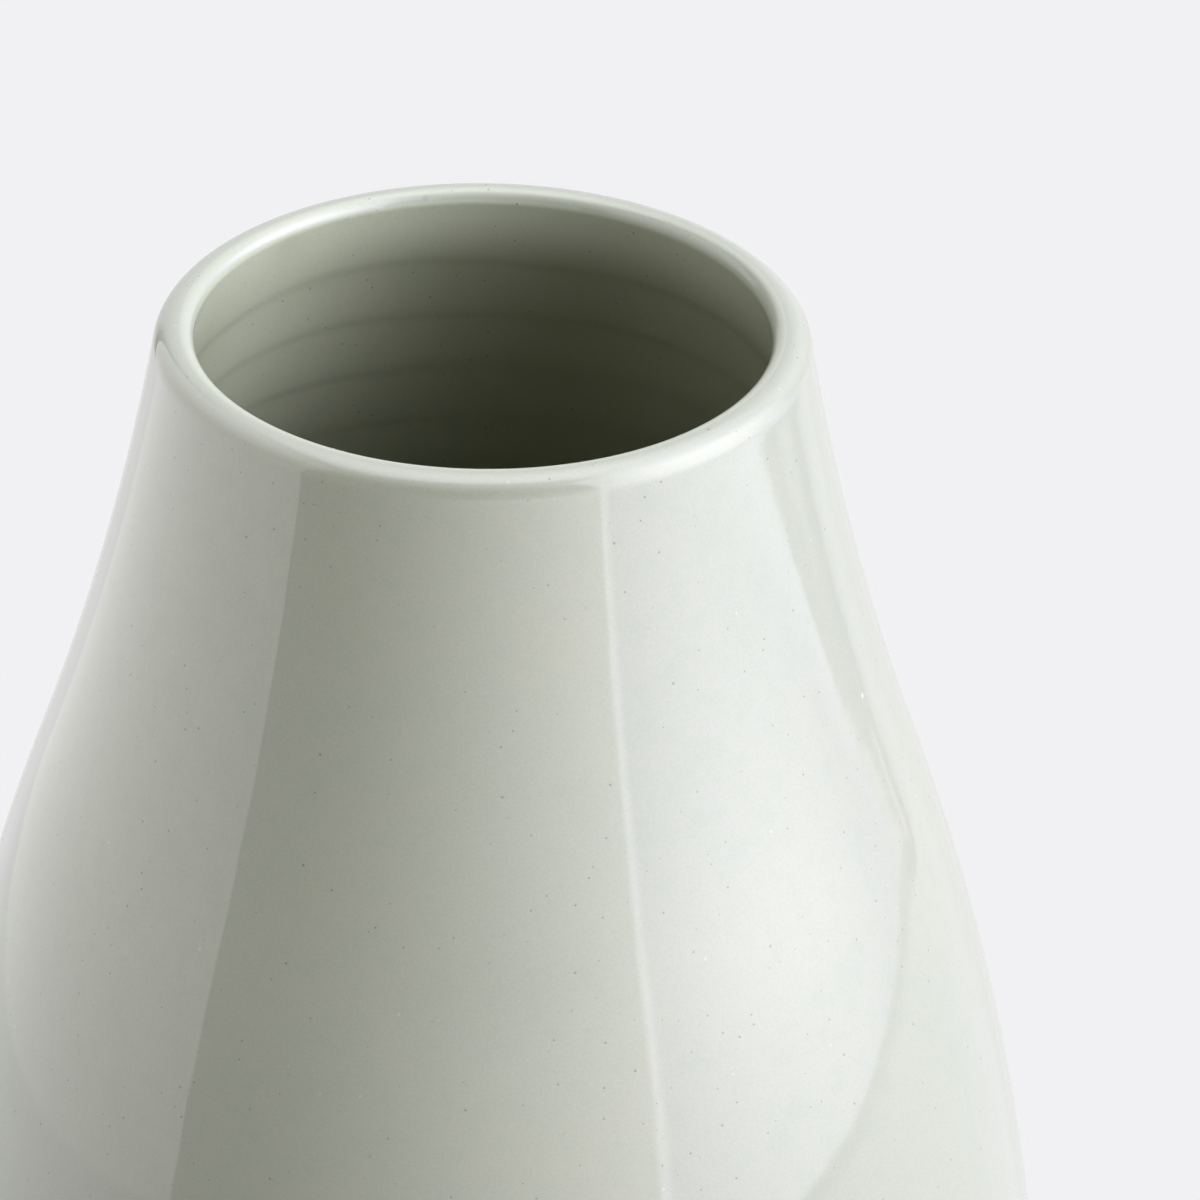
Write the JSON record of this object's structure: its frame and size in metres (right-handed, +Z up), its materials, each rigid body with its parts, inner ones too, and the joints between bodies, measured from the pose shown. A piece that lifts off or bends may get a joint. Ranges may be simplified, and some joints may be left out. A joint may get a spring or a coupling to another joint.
{
  "type": "vase",
  "caption": "Tall glazed stoneware vase with a wide rounded mouth, a long sloping shoulder, a full belly and a recessed foot ring, for cut flowers or display.",
  "frame": {"origin": "centre of the circle on which the foot ring rests", "axes": "+Z up along the axis of the vase; the vase is round, so +X and +Y are only the directions of the model"},
  "size_m": [0.1532, 0.1532, 0.296],
  "materials": {
    "fired_clay": "bare fired stoneware, fine matte grain",
    "outer_glaze": "glossy pale grey-green celadon glaze",
    "liner_glaze": "glossy pale grey-green celadon glaze",
    "recess_glaze": "glossy pale grey-green celadon glaze"
  },
  "bodies": {
    "root": {"clay_body": "fired_clay", "outer_glaze": "outer_glaze", "inner_glaze": "liner_glaze", "recess_glaze": "recess_glaze"}
  },
  "joints": []
}
